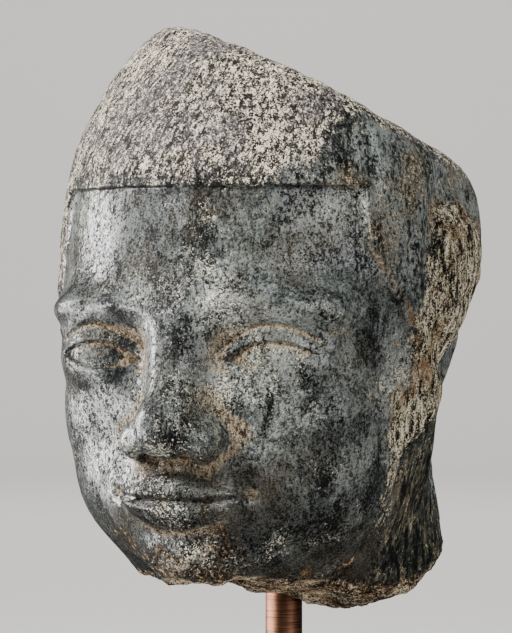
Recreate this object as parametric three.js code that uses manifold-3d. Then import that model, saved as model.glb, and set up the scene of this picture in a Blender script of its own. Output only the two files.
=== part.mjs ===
// A broken stone head on a metal rod that stands in a square foot.
// Millimetres. +Z is up, the face looks along -Y, and the figure's left is +X.
// The origin is the middle of the foot's underside, below the rod's axis.
import * as THREE from "three";
import { mergeVertices } from "three/addons/utils/BufferGeometryUtils.js";
import Module from "manifold-3d";

// Driving dimensions
const HEAD_HEIGHT = 200;
const ROD_DIAMETER = 12.7;
const ROD_SHOWING = 62;
const ROD_IN_STONE = 45;
const ROD_IN_FOOT = 25;
const FOOT_SIDE = 120;
const FOOT_HEIGHT = 40;
const FOOT_BEVEL = 1.5;
const CLEARANCE = 0.3;
const HEAD_COLUMNS = 70;
const ROD_SIDES = 40;

// The head is carved in 200ths of its own height: x to its left, y to its back, z up from its lowest break.
const UNIT = HEAD_HEIGHT / 200;
const ROD_UNDER_HEAD = [3.5, 3];
const ROD_MEETS_STONE = 7;

const skull = { at: [0, 2, 118], radii: [71, 75, 95] };
const neck = {
  y: 14.5,
  across: 51,
  deep: 47.5,
  flare: 0.075,
  flareFrom: 52,
  flareTo: 12,
  top: 90,
  soft: 10,
};
const masses = {
  cheeks: { at: [0, -11, 81], radii: [63, 62.5, 74], soft: 14 },
  jaw: { at: [0, -25, 42], radii: [48, 42, 32], soft: 18 },
  cheekbone: { at: [34, -43, 69], radii: [19, 18, 17], soft: 12 },
  jowl: { at: [34, -35, 48], radii: [16, 17, 17], soft: 14 },
  muzzle: { at: [0, -54, 43], radii: [27, 20, 21], soft: 14 },
  chin: { at: [0, -56.5, 22], radii: [15, 12.5, 11.5], soft: 12 },
  brow: { at: [25, -57, 102], radii: [26, 13.5, 8], soft: 12 },
};
const browBand = { x: 31, z: 101.5, half: 25, arch: 4.2, tall: 3.4, lift: 1.3 };
const socket = { at: [22.5, -83, 89], radii: [14.5, 15.5, 10], soft: 10 };
const eye = {
  ball: { at: [29.8, -51, 87], radii: [20.5, 18, 15] },
  x: 30.5,
  z: 87,
  half: 16,
  lidUp: 5.4,
  lidDown: 3.9,
  tilt: 1,
  lid: 1.7,
  deepest: 2.2,
  crease: 0.8,
};
const nose = {
  top: [0, -67, 99],
  end: [0, -81, 67],
  topWide: 6.8,
  endWide: 8.8,
  tip: { at: [0, -82.5, 62.5], radii: [9.8, 8, 8.2] },
  wing: { at: [11.2, -77, 60], radii: [6.4, 9.2, 6.8] },
  nostril: { at: [6.6, -81, 52.8], radii: [3.3, 5.4, 3.6] },
};
const mouth = {
  z: 40.5,
  half: 23.5,
  lipUp: 8.2,
  lipDown: 9.6,
  cornerRise: 1.8,
  groove: { deep: 0.8, wide: 2.6, low: 47, high: 57, fade: 3 },
  underLip: { deep: 1.4, wide: 17, z: 29.5, tall: 4.5 },
  fold: { deep: 0.5, wide: 4.5, x: 18.5, z: 56, lean: 0.55, low: 38, high: 64, fade: 9 },
};
const hair = {
  line: 143,
  thick: 1.8,
  frontEdge: 0.7,
  sideEdge: 3,
  cornerTurn: 49,
  templeZ: 124,
  sideburnTurn: 62,
  sideburnZ: 104,
  earTurn: 68,
  earZ: 86,
  neckTurn: 133,
  neckZ: 10,
  fadesFrom: 64,
  fadesTo: 82,
};
const ear = { turn: 91, z: 114, across: 22, tall: 27, lift: 2.4 };
const earGroove = { depth: 2.2, wide: 0.24, fadesFrom: 94, fadesTo: 114 };
const loss = { behindEar: 24, z: 80, across: 42, tall: 46, depth: 9 };
const crownBreak = { facing: [0.384, 0.212, 0.87], at: 160.4, soft: 8, waves: 75, waveHigh: 0.9 };
const cornerBreak = { facing: [0.12, 0.74, 0.66], at: 143, soft: 10, waves: 60, waveHigh: 2 };
const neckChip = { facing: [0.6, 0.28, -0.75], at: 27, soft: 4, waves: 30, waveHigh: 0.8 };
const backBreak = {
  y: 66.5,
  middleZ: 95,
  dome: 0.0026,
  leanSide: 0.06,
  leanUp: 0.1,
  soft: 12,
  waves: 80,
  waveHigh: 2.2,
};
const neckBreak = { lowest: [22, 14], rise: 12, spread: 1100, soft: 4, waves: 45, waveHigh: 1 };

// Rays leave the head's axis in bands, top to bottom: each band starts its rows at a height and with a
// tip from straight up in degrees, and runs evenly to the next band's
const faceBands = {
  crown: { rows: 10, start: hair.line + 0.9, tip: 8 },
  hairEdge: { rows: 1, start: hair.line + 0.9, tip: 90 },
  forehead: { rows: 6, start: hair.line - 0.7, tip: 90 },
  brows: { rows: 3, start: 108.4, tip: 92 },
  eyes: { rows: 11, start: 101.5, tip: 93 },
  cheeks: { rows: 6, start: 86.8, tip: 95 },
  noseUnder: { rows: 4, start: 78.7, tip: 104 },
  upperLip: { rows: 2, start: 76.4, tip: 108 },
  lips: { rows: 8, start: 70.5, tip: 106 },
  chin: { rows: 5, start: 52.5, tip: 106 },
  under: { rows: 7, start: 42.5, tip: 112 },
  end: { rows: 0, start: 40, tip: 172 },
};
const backBands = {
  crown: { rows: 10, start: hair.line + 0.9, tip: 8 },
  side: { rows: 46, start: hair.line + 0.9, tip: 90 },
  under: { rows: 7, start: 42.5, tip: 112 },
  end: { rows: 0, start: 40, tip: 172 },
};
const FACE_TURNS_TO_BACK = [0.8, 1.25];
const COLUMNS_LIE = { everywhere: 0.2, faceWide: 0.7, moreAtEar: 0.12, earTurn: 1.6, earWide: 0.4 };
// Rows draw together towards the corners of the eyes and the mouth, with turns in radians
const eyePinch = { start: 92.1, inner: 6, outer: 15, turn: 0.422, half: 0.216, corner: 0.22 };
const mouthPinch = { start: 61.1, inner: 9, outer: 17, turn: 0, half: 0.342, corner: 0.3 };

// Shaping tools: each gives a distance, under zero inside the stone
const clamp = (v, low, high) => Math.min(Math.max(v, low), high);
const hump = (v) => Math.exp(-v * v);
const step = (low, high, v) => {
  const t = clamp((v - low) / (high - low), 0, 1);
  return t * t * (3 - 2 * t);
};

function ellipsoid([x, y, z], { at, radii }) {
  const u = [(x - at[0]) / radii[0], (y - at[1]) / radii[1], (z - at[2]) / radii[2]];
  const near = Math.hypot(...u) + 1e-9;
  const slope = Math.hypot(u[0] / radii[0], u[1] / radii[1], u[2] / radii[2]) + 1e-9;
  return (near * (near - 1)) / slope;
}

function roundCone([x, y, z], a, b, radiusA, radiusB) {
  const along = b.map((v, i) => v - a[i]);
  const from = [x - a[0], y - a[1], z - a[2]];
  const dot = from[0] * along[0] + from[1] * along[1] + from[2] * along[2];
  const t = clamp(dot / (along[0] ** 2 + along[1] ** 2 + along[2] ** 2), 0, 1);
  const off = Math.hypot(...from.map((v, i) => v - along[i] * t));
  return off - (radiusA + (radiusB - radiusA) * t);
}

function join(a, b, soft) {
  const h = Math.max(soft - Math.abs(a - b), 0) / soft;
  return Math.min(a, b) - (h * h * soft) / 4;
}
const carve = (a, b, soft) => -join(-a, b, soft);
const breakOff = (a, cut, soft) => -join(-a, -cut, soft);

// The masses of the skull, jaw and neck, the same on both sides
function headMass(p) {
  const [x, y, z] = p;
  const neckWide = 1 + neck.flare * step(neck.flareFrom, neck.flareTo, z);
  const fromNeck = Math.hypot(x / neck.across, (y - neck.y) / neck.deep) - neckWide;
  const column = Math.max(fromNeck * neck.deep, z - neck.top);
  let d = join(ellipsoid(p, skull), column, neck.soft);
  for (const mass of Object.values(masses)) d = join(d, ellipsoid(p, mass), mass.soft);
  return d;
}

// Brow band, socket, and an eyeball between two lids with a crease over them
function carveEye(d, p, front) {
  const [x, , z] = p;
  const browAcross = (x - browBand.x) / browBand.half;
  const browZ = browBand.z + browBand.arch * (1 - browAcross ** 2);
  const browFade = step(1.15, 0.6, Math.abs(browAcross));
  d -= browBand.lift * hump((z - browZ) / browBand.tall) * browFade * front;
  d = carve(d, ellipsoid(p, socket), socket.soft);
  const ball = ellipsoid(p, eye.ball);
  d = join(d, ball - eye.lid, 5);
  const t = (x - eye.x) / eye.half;
  const above = z - eye.z - eye.tilt * t;
  const lidUp = eye.lidUp * (1 - t * t);
  const lidDown = -eye.lidDown * (1 - t * t);
  const crease = above - lidUp - 5 + t * t;
  d += eye.crease * hump(crease) * step(1.35, 0.9, Math.abs(t)) * front;
  const opening = Math.max(above - lidUp, lidDown - above) * 0.85;
  const floor = join(ball, d + eye.deepest, 2);
  const cut = Math.max(opening, p[1] + 30);
  return Math.min(Math.max(d, -cut), floor);
}

function carveNose(d, p) {
  const bridge = roundCone(p, nose.top, nose.end, nose.topWide, nose.endWide);
  const ridge = join(bridge, ellipsoid(p, nose.tip), 7);
  const winged = join(join(d, ridge, 9), ellipsoid(p, nose.wing), 4.5);
  return carve(winged, ellipsoid(p, nose.nostril), 2);
}

function carveMouth(d, p, front) {
  const [x, , z] = p;
  const s = x / mouth.half;
  const inside = clamp(1 - s * s, 0, 1);
  const seamZ = mouth.z + mouth.cornerRise * s * s - 0.5 * hump((s - 0.55) / 0.3);
  const upperEdge = mouth.lipUp * (1 - clamp(s, 0, 1.2) ** 1.8) - 1.1 * hump(x / 3);
  const lowerEdge = mouth.lipDown * inside ** 0.8;
  const up = Math.max(z - seamZ, 0) / Math.max(upperEdge, 0.5);
  const down = Math.max(seamZ - z, 0) / Math.max(lowerEdge, 0.5);
  const upper = 2.6 * clamp(1 - up ** 2.2, 0, 1) + 0.9 * step(1.22, 0.95, up);
  const lower = 3.8 * clamp(1 - down ** 2.2, 0, 1) + 0.8 * step(1.2, 0.95, down);
  const fromSeam = Math.min(1, Math.abs(z - seamZ) / 3.2);
  const roll = Math.sqrt(1 - (1 - fromSeam) ** 2);
  const rise = (z > seamZ ? upper : lower) * inside ** 0.4 * roll;
  const seam = hump((z - seamZ) / 0.8) * step(1.18, 0.9, s);
  const corner = 1.2 * hump((s - 1.02) / 0.1) * hump((z - seamZ) / 2.5);
  const { groove, underLip, fold } = mouth;
  const between = ({ low, high, fade }) => step(low, low + fade, z) * step(high, high - fade, z);
  const underNose = groove.deep * hump(x / groove.wide) * between(groove);
  const overChin = underLip.deep * hump(x / underLip.wide) * hump((z - underLip.z) / underLip.tall);
  const foldX = fold.x + (fold.z - z) * fold.lean;
  const cheekFold = fold.deep * hump((x - foldX) / fold.wide) * between(fold);
  return d + (seam + corner + underNose + overChin + cheekFold - rise) * front;
}

// Degrees round the head from the front, and how long one is on its side
const turnOf = (x, y) => (Math.atan2(Math.abs(x), 2 - y) * 180) / Math.PI;
const ARC = 1.25;

// How far a place lies inside the hair: straight brow line, square temple, sideburn, then behind the ear
function insideHair(turn, z) {
  const between = (t0, z0, t1, z1) => z0 + ((z1 - z0) * (turn - t0)) / (t1 - t0);
  if (turn < hair.cornerTurn) return z - hair.line;
  if (turn < hair.sideburnTurn) {
    const lean = between(hair.cornerTurn, hair.templeZ, hair.sideburnTurn, hair.sideburnZ);
    const toSide = (turn - hair.cornerTurn) * ARC;
    return Math.max(z - hair.line, Math.min(toSide, (z - lean) * 0.65));
  }
  if (turn < hair.earTurn) {
    return (z - between(hair.sideburnTurn, hair.sideburnZ, hair.earTurn, hair.earZ)) * 0.4;
  }
  return (z - between(hair.earTurn, hair.earZ, hair.neckTurn, hair.neckZ)) * 0.7;
}

// The hair stands out over the brow and temples, and runs out at the ears
function hairThickness(x, y, z) {
  const turn = turnOf(x, y);
  const edge = turn < hair.cornerTurn ? hair.frontEdge : hair.sideEdge;
  return hair.thick * step(-edge, edge, insideHair(turn, z)) * step(hair.fadesTo, hair.fadesFrom, turn);
}

// What is left of the ear: a worn lump in a groove, and the stone lost below and behind it
function earRemains(x, y, z) {
  const turn = turnOf(x, y);
  const across = (turn - ear.turn) * ARC;
  const lump = Math.hypot(across / ear.across, (z - ear.z) / ear.tall);
  const lost = Math.hypot((across - loss.behindEar) / loss.across, (z - loss.z) / loss.tall);
  const deeper = (1 + 0.7 * step(0, 20, z - ear.z)) * step(earGroove.fadesTo, earGroove.fadesFrom, turn);
  const groove = earGroove.depth * hump((lump - 1.15) / earGroove.wide) * deeper;
  return ear.lift * step(1.05, 0.5, lump) - groove - loss.depth * step(1, 0.2, lost);
}

// Uneven waves of about the given length, for the broken faces
function wobble(x, y, z, size) {
  const wave = (ax, ay, az, turns, start) =>
    Math.sin(((x * ax + y * ay + z * az) / size) * turns + start);
  const a = wave(0.8, 0.5, 0.33, 6.3, 1.3 * wave(0, 0.7, -0.6, 3.9, 0));
  const b = wave(-0.45, 0.75, -0.6, 6.9, 1 + 1.7 * wave(0.9, 0, 0.3, 3.1, 0));
  const c = wave(0.3, -0.35, 0.9, 5.7, 2 + 1.5 * wave(0.4, 0.8, 0, 4.3, 0));
  return (a + b + c) / 3;
}

// The broken faces: uneven planes over the crown, its back corner and the neck's edge, a domed back,
// and an underside that is lowest at one place
function beyondPlane(x, y, z, { facing, at, waves, waveHigh }) {
  return x * facing[0] + y * facing[1] + z * facing[2] - at + waveHigh * wobble(x, y, z, waves);
}

function behindBack(x, y, z) {
  const { y: far, middleZ, dome, leanSide, leanUp, waves, waveHigh } = backBreak;
  const up = z - middleZ;
  const bow = dome * (x ** 2 + 0.7 * up ** 2) + x * leanSide + up * leanUp;
  return y - far + bow + waveHigh * wobble(x, y, z, waves);
}

function underNeck(x, y, z) {
  const { lowest, rise, spread: wide, waves, waveHigh } = neckBreak;
  const away = ((x - lowest[0]) ** 2 + (y - lowest[1]) ** 2) / wide;
  return (rise * (1 - Math.exp(-away)) - z) * 0.95 + waveHigh * wobble(x, y, z, waves);
}

// The whole stone: the carving, then the crown, the back and the neck broken away
function stone(x, y, z) {
  const side = [Math.abs(x), y, z];
  const front = step(-20, -40, y);
  let d = headMass(side);
  d = carveEye(d, side, front);
  d = carveNose(d, side);
  d = carveMouth(d, side, front);
  d -= hairThickness(x, y, z) + earRemains(x, y, z);
  d = breakOff(d, beyondPlane(x, y, z, crownBreak), crownBreak.soft);
  d = breakOff(d, behindBack(x, y, z), backBreak.soft);
  d = breakOff(d, beyondPlane(x, y, z, cornerBreak), cornerBreak.soft);
  d = breakOff(d, underNeck(x, y, z), neckBreak.soft);
  return breakOff(d, beyondPlane(x, y, z, neckChip), neckChip.soft);
}

// Steps in from outside along a ray from the axis until it meets the stone
function surfaceAlong(start, dx, dy, dz) {
  let r = 150;
  for (let i = 0; i < 120; i++) {
    const d = stone(dx * r, dy * r, start + dz * r);
    r -= d * 0.6;
    if (Math.abs(d) < 0.002) break;
  }
  return [dx * r, dy * r, start + dz * r].map((v) => v * UNIT);
}

// Angles that lie closer together where density is higher
function spread(count, density, low, high) {
  const fine = 2000;
  const at = (i) => low + ((high - low) * i) / fine;
  const total = [0];
  for (let i = 0; i < fine; i++) total.push(total[i] + density(at(i + 0.5)));
  const angles = [];
  for (let k = 0, i = 0; k < count; k++) {
    const wanted = (total[fine] * k) / (count - 1);
    while (i < fine - 1 && total[i + 1] < wanted) i++;
    angles.push(at(i + (wanted - total[i]) / (total[i + 1] - total[i])));
  }
  return angles;
}

// Every row's start and tip, from its bands
function rowsOf(bands) {
  const list = Object.values(bands);
  const rows = [];
  for (let k = 0; k < list.length - 1; k++) {
    const from = list[k];
    const to = list[k + 1];
    for (let i = 0; i < from.rows; i++) {
      const t = i / from.rows;
      rows.push({
        start: from.start + (to.start - from.start) * t,
        tip: from.tip + (to.tip - from.tip) * t,
      });
    }
  }
  const last = list[list.length - 1];
  rows.push({ start: last.start, tip: last.tip });
  return rows;
}

// A row's start, drawn towards the middle of an eye or the mouth at its corners
function pinch(start, turn, p) {
  const t = Math.abs(Math.abs(turn) - p.turn) / p.half;
  const narrow = (1 - p.corner) * (t < 1 ? t * t : step(1.8, 1, t));
  const off = start - p.start;
  return start - off * narrow * step(p.outer, p.inner, Math.abs(off));
}

// A closed net of rays: each column turns on round the head from the back, each row tips further down
function headGeometry() {
  const { everywhere, faceWide, moreAtEar, earTurn, earWide } = COLUMNS_LIE;
  const atEar = (turn) => moreAtEar * hump((Math.abs(turn) - earTurn) / earWide);
  const density = (turn) => everywhere + hump(turn / faceWide) + atEar(turn);
  const turns = spread(HEAD_COLUMNS + 1, density, -Math.PI, Math.PI);
  const faceRows = rowsOf(faceBands);
  const backRows = rowsOf(backBands);
  const points = [];
  faceRows.forEach((row, i) => {
    for (const turn of turns.slice(0, HEAD_COLUMNS)) {
      const back = step(...FACE_TURNS_TO_BACK, Math.abs(turn));
      const pinched = pinch(pinch(row.start, turn, eyePinch), turn, mouthPinch);
      const start = pinched + (backRows[i].start - pinched) * back;
      const tip = ((row.tip + (backRows[i].tip - row.tip) * back) * Math.PI) / 180;
      const out = Math.sin(tip);
      points.push(surfaceAlong(start, Math.sin(turn) * out, -Math.cos(turn) * out, Math.cos(tip)));
    }
  });
  const top = points.push(surfaceAlong(faceBands.crown.start, 0, 0, 1)) - 1;
  const bottom = points.push(surfaceAlong(faceBands.end.start, 0, 0, -1)) - 1;
  const faces = [];
  const last = (faceRows.length - 1) * HEAD_COLUMNS;
  for (let j = 0; j < HEAD_COLUMNS; j++) {
    const next = (j + 1) % HEAD_COLUMNS;
    faces.push(top, j, next, bottom, last + next, last + j);
    for (let row = 0; row < last; row += HEAD_COLUMNS) {
      const a = row + j;
      const b = row + next;
      const c = a + HEAD_COLUMNS;
      const d = b + HEAD_COLUMNS;
      const square = j < HEAD_COLUMNS / 2 ? [a, c, b, b, c, d] : [a, c, d, a, d, b];
      faces.push(...square);
    }
  }
  const geometry = new THREE.BufferGeometry();
  geometry.setAttribute("position", new THREE.Float32BufferAttribute(points.flat(), 3));
  geometry.setIndex(faces);
  return geometry;
}

// Booleans
const wasm = await Module();
wasm.setup();

function toManifold(geometry) {
  const bare = geometry.clone().deleteAttribute("normal").deleteAttribute("uv");
  const merged = mergeVertices(bare, 1e-4);
  return new wasm.Manifold(
    new wasm.Mesh({
      numProp: 3,
      vertProperties: merged.attributes.position.array,
      triVerts: new Uint32Array(merged.index.array),
    }),
  );
}

function toGeometry(manifold) {
  const mesh = manifold.getMesh();
  const geometry = new THREE.BufferGeometry();
  geometry.setAttribute("position", new THREE.BufferAttribute(mesh.vertProperties, 3));
  geometry.setIndex(new THREE.BufferAttribute(mesh.triVerts, 1));
  geometry.computeVertexNormals();
  return geometry;
}

// An upright round bar or hole, from one height to another
function upright(radius, low, high) {
  const bar = new THREE.CylinderGeometry(radius, radius, high - low, ROD_SIDES);
  return bar.rotateX(Math.PI / 2).translate(0, 0, (low + high) / 2);
}

const rodRadius = ROD_DIAMETER / 2;
const holeRadius = rodRadius + CLEARANCE;
const stoneMeetsRod = FOOT_HEIGHT + ROD_SHOWING;
const headBase = stoneMeetsRod - ROD_MEETS_STONE * UNIT;
const rodLow = FOOT_HEIGHT - ROD_IN_FOOT;
const rodHigh = stoneMeetsRod + ROD_IN_STONE;

function makeHead() {
  const [rodX, rodY] = ROD_UNDER_HEAD;
  const carved = headGeometry().translate(-rodX * UNIT, -rodY * UNIT, headBase);
  const drilled = upright(holeRadius, FOOT_HEIGHT, rodHigh + CLEARANCE);
  return toGeometry(toManifold(carved).subtract(toManifold(drilled)));
}

// A square block with small bevels on its top and bottom edges, and a hole for the rod
function makeFoot() {
  const half = FOOT_SIDE / 2 - FOOT_BEVEL;
  const outline = new THREE.Shape();
  outline.moveTo(-half, -half);
  outline.lineTo(half, -half);
  outline.lineTo(half, half);
  outline.lineTo(-half, half);
  outline.closePath();
  const block = new THREE.ExtrudeGeometry(outline, {
    depth: FOOT_HEIGHT - 2 * FOOT_BEVEL,
    bevelThickness: FOOT_BEVEL,
    bevelSize: FOOT_BEVEL,
    bevelSegments: 1,
  }).translate(0, 0, FOOT_BEVEL);
  const drilled = upright(holeRadius, rodLow - CLEARANCE, FOOT_HEIGHT + FOOT_BEVEL);
  return toGeometry(toManifold(block).subtract(toManifold(drilled)));
}

const stoneFinish = new THREE.MeshStandardMaterial({
  name: "stone",
  color: 0x5b6462,
  roughness: 0.6,
  metalness: 0,
});
const rodFinish = new THREE.MeshStandardMaterial({
  name: "rod",
  color: 0x8a6350,
  roughness: 0.35,
  metalness: 1,
});
const footFinish = new THREE.MeshStandardMaterial({
  name: "foot",
  color: 0x1c1b1a,
  roughness: 0.45,
  metalness: 0,
});

function named(name, geometry, material) {
  const mesh = new THREE.Mesh(geometry, material);
  mesh.name = name;
  return mesh;
}

const sculpture = new THREE.Group();
sculpture.add(
  named("stone_head", makeHead(), stoneFinish),
  named("mount_rod", upright(rodRadius, rodLow, rodHigh), rodFinish),
  named("mount_foot", makeFoot(), footFinish),
);

export default sculpture;
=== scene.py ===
import math
import bpy
import numpy as np
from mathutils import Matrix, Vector


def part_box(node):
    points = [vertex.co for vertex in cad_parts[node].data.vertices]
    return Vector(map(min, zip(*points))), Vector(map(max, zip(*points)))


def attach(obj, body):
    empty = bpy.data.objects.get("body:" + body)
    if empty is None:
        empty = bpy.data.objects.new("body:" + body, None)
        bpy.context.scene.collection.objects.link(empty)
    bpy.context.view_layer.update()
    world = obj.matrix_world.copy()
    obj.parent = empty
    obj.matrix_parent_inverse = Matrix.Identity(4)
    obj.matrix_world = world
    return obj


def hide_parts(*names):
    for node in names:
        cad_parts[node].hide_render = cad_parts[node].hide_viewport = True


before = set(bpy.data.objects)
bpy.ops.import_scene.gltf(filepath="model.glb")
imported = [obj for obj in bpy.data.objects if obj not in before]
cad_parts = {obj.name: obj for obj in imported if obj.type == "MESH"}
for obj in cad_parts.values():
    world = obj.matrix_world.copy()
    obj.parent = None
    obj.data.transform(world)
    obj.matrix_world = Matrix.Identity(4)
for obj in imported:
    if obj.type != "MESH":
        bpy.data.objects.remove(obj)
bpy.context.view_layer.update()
print("stage 1: frame loaded")

# the stone is carved in millimetres of its own frame: x to the figure's left, y to its back, z up
rodLow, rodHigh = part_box("mount_rod")
footLow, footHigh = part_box("mount_foot")
millimetre = 0.001
stoneSeat = {
    "rodUnderHead": (3.5, 3.0),  # where the rod's axis meets the stone
    "rodMeetsStone": 7.0,
    "rodInStone": 45.0,
    "clearance": 0.3,
}
stoneBase = rodHigh.z - (stoneSeat["rodInStone"] + stoneSeat["rodMeetsStone"]) * millimetre


# shaping tools, each on whole arrays; distances are under zero inside the stone
def hump(v):
    return np.exp(-v * v)


def step(low, high, v):
    t = np.clip((v - low) / (high - low), 0, 1)
    return t * t * (3 - 2 * t)


def ellipsoid(x, y, z, at, radii):
    ux, uy, uz = (x - at[0]) / radii[0], (y - at[1]) / radii[1], (z - at[2]) / radii[2]
    near = np.sqrt(ux * ux + uy * uy + uz * uz) + 1e-9
    slope = np.sqrt((ux / radii[0]) ** 2 + (uy / radii[1]) ** 2 + (uz / radii[2]) ** 2) + 1e-9
    return near * (near - 1) / slope


def roundCone(x, y, z, a, b, radiusA, radiusB):
    ab = [b[i] - a[i] for i in range(3)]
    length2 = sum(v * v for v in ab)
    t = np.clip(((x - a[0]) * ab[0] + (y - a[1]) * ab[1] + (z - a[2]) * ab[2]) / length2, 0, 1)
    dx, dy, dz = x - a[0] - ab[0] * t, y - a[1] - ab[1] * t, z - a[2] - ab[2] * t
    return np.sqrt(dx * dx + dy * dy + dz * dz) - (radiusA + (radiusB - radiusA) * t)


def join(a, b, soft):
    h = np.maximum(soft - np.abs(a - b), 0) / soft
    return np.minimum(a, b) - h * h * soft / 4


def carve(a, b, soft):
    return -join(-a, b, soft)


def breakOff(a, cut, soft):
    return -join(-a, -cut, soft)


def latticeValue(i, j, k, seed):
    # a fixed number from -1 to 1 for each corner of a unit grid
    n = (i * 374761393 + j * 668265263 + k * 1442695041 + seed * 362437) & 0xFFFFFFFF
    n = ((n ^ (n >> 13)) * 1274126177) & 0xFFFFFFFF
    n = ((n ^ (n >> 15)) * 2246822519) & 0xFFFFFFFF
    return ((n ^ (n >> 16)) & 0xFFFF) / 32767.5 - 1


def grain(x, y, z, size, seed, octaves=3, along=1.0):
    # sum of smoothed grid noises, each half the size and 0.55 the height of the last; z is stretched by along
    total, high = 0, 1.0
    for octave in range(octaves):
        gx, gy, gz = x / size + 7.1 * octave, y / size - 3.7 * octave, z / (size * along) + 1.9 * octave
        i, j, k = np.floor(gx).astype(np.int64), np.floor(gy).astype(np.int64), np.floor(gz).astype(np.int64)
        fx, fy, fz = [f * f * f * (f * (f * 6 - 15) + 10) for f in (gx - i, gy - j, gz - k)]
        value = 0
        for a, wa in ((0, 1 - fx), (1, fx)):
            for b, wb in ((0, 1 - fy), (1, fy)):
                for c, wc in ((0, 1 - fz), (1, fz)):
                    value = value + wa * wb * wc * latticeValue(i + a, j + b, k + c, seed + octave)
        total = total + high * value
        size, high = size * 0.5, high * 0.55
    return total


head = {
    "skull": ((0, 2, 118), (71, 75, 95)),
    "neck": {"y": 14.5, "across": 51, "deep": 47.5, "flare": 0.075, "flareFrom": 52, "flareTo": 12, "top": 90},
    "masses": {
        "cheeks": ((0, -11, 81), (63, 62.5, 74), 14),
        "jaw": ((0, -25, 42), (48, 42, 32), 18),
        "cheekbone": ((34, -43, 69), (19, 18, 17), 12),
        "jowl": ((34, -35, 48), (16, 17, 17), 14),
        "muzzle": ((0, -54, 43), (27, 20, 21), 14),
        "chin": ((0, -56.5, 22), (15, 12.5, 11.5), 12),
        "brow": ((25, -57, 102), (26, 13.5, 8), 12),
    },
    "browBand": {"x": 31, "z": 101.5, "half": 25, "arch": 4.2, "tall": 3.4, "lift": 1.3},
    "socket": ((22.5, -83, 89), (14.5, 15.5, 10)),
    "eyeBall": ((29.8, -51, 87), (20.5, 18, 15)),
    "eye": {"x": 30.5, "z": 87, "half": 16, "lidUp": 5.4, "lidDown": 3.9, "tilt": 1, "lid": 1.7},
    "noseTip": ((0, -82.5, 62.5), (9.8, 8, 8.2)),
    "noseWing": ((11.2, -77, 60), (6.4, 9.2, 6.8)),
    "nostril": ((6.6, -81, 52.8), (3.3, 5.4, 3.6)),
    "mouth": {"z": 40.5, "half": 23.5, "lipUp": 8.2, "lipDown": 9.6, "cornerRise": 1.8},
    "lipGroove": {"deep": 0.8, "wide": 2.6, "low": 47, "high": 57, "fade": 3},
    "underLip": {"deep": 1.4, "wide": 17, "z": 29.5, "tall": 4.5},
    "cheekFold": {"deep": 0.5, "wide": 4.5, "x": 18.5, "z": 56, "lean": 0.55, "low": 38, "high": 64, "fade": 9},
    "hairLine": 143,
    "hairThick": 1.8,
    "ear": {"turn": 91, "z": 114, "across": 22, "tall": 27, "lift": 2.4, "groove": 2.2},
    "loss": {"behindEar": 24, "z": 80, "across": 42, "tall": 46, "depth": 9},
}

# the broken faces: uneven planes over the crown, its back corner and the neck's edge, a domed back, and an
# underside that is lowest at one place
breaks = {
    "crown": {"facing": (0.384, 0.212, 0.87), "at": 160.4, "soft": 8, "waves": 75, "waveHigh": 0.9},
    "corner": {"facing": (0.12, 0.74, 0.66), "at": 143, "soft": 10, "waves": 60, "waveHigh": 2},
    "chip": {"facing": (0.6, 0.28, -0.75), "at": 27, "soft": 4, "waves": 30, "waveHigh": 0.8},
    "back": {"y": 66.5, "middleZ": 95, "dome": 0.0026, "leanSide": 0.06, "leanUp": 0.1, "soft": 12},
    "backWaves": {"waves": 80, "waveHigh": 2.2},
    "neck": {"lowest": (22, 14), "rise": 12, "spread": 1100, "soft": 4, "waves": 45},
}


def headMass(x, y, z):
    # skull, neck and the masses of the face, joined softly
    neck = head["neck"]
    wide = 1 + neck["flare"] * step(neck["flareFrom"], neck["flareTo"], z)
    column = (np.sqrt((x / neck["across"]) ** 2 + ((y - neck["y"]) / neck["deep"]) ** 2) - wide) * neck["deep"]
    d = join(ellipsoid(x, y, z, *head["skull"]), np.maximum(column, z - neck["top"]), 10)
    for at, radii, soft in head["masses"].values():
        d = join(d, ellipsoid(x, y, z, at, radii), soft)
    return d


def carveEye(d, x, y, z, front):
    # brow band, socket, and an eyeball between two lids whose edges are parabolas
    band, eye = head["browBand"], head["eye"]
    across = (x - band["x"]) / band["half"]
    bandZ = band["z"] + band["arch"] * (1 - across * across)
    d = d - band["lift"] * hump((z - bandZ) / band["tall"]) * step(1.15, 0.6, np.abs(across)) * front
    d = carve(d, ellipsoid(x, y, z, *head["socket"]), 10)
    ball = ellipsoid(x, y, z, *head["eyeBall"])
    d = join(d, ball - eye["lid"], 5)
    t = (x - eye["x"]) / eye["half"]
    above = z - eye["z"] - eye["tilt"] * t
    up, down = eye["lidUp"] * (1 - t * t), -eye["lidDown"] * (1 - t * t)
    d = d + 0.8 * hump(above - up - 5 + t * t) * step(1.35, 0.9, np.abs(t)) * front
    floor = join(ball, d + 2.2, 2)
    opening = np.maximum(np.maximum(above - up, down - above) * 0.85, y + 30)
    return np.minimum(np.maximum(d, -opening), floor)


def carveNose(d, x, y, z):
    bridge = roundCone(x, y, z, (0, -67, 99), (0, -81, 67), 6.8, 8.8)
    ridge = join(bridge, ellipsoid(x, y, z, *head["noseTip"]), 7)
    d = join(join(d, ridge, 9), ellipsoid(x, y, z, *head["noseWing"]), 4.5)
    return carve(d, ellipsoid(x, y, z, *head["nostril"]), 2)


def between(part, z):
    # 1 between two heights, falling to 0 at them
    low, high, fade = part["low"], part["high"], part["fade"]
    return step(low, low + fade, z) * step(high, high - fade, z)


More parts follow.
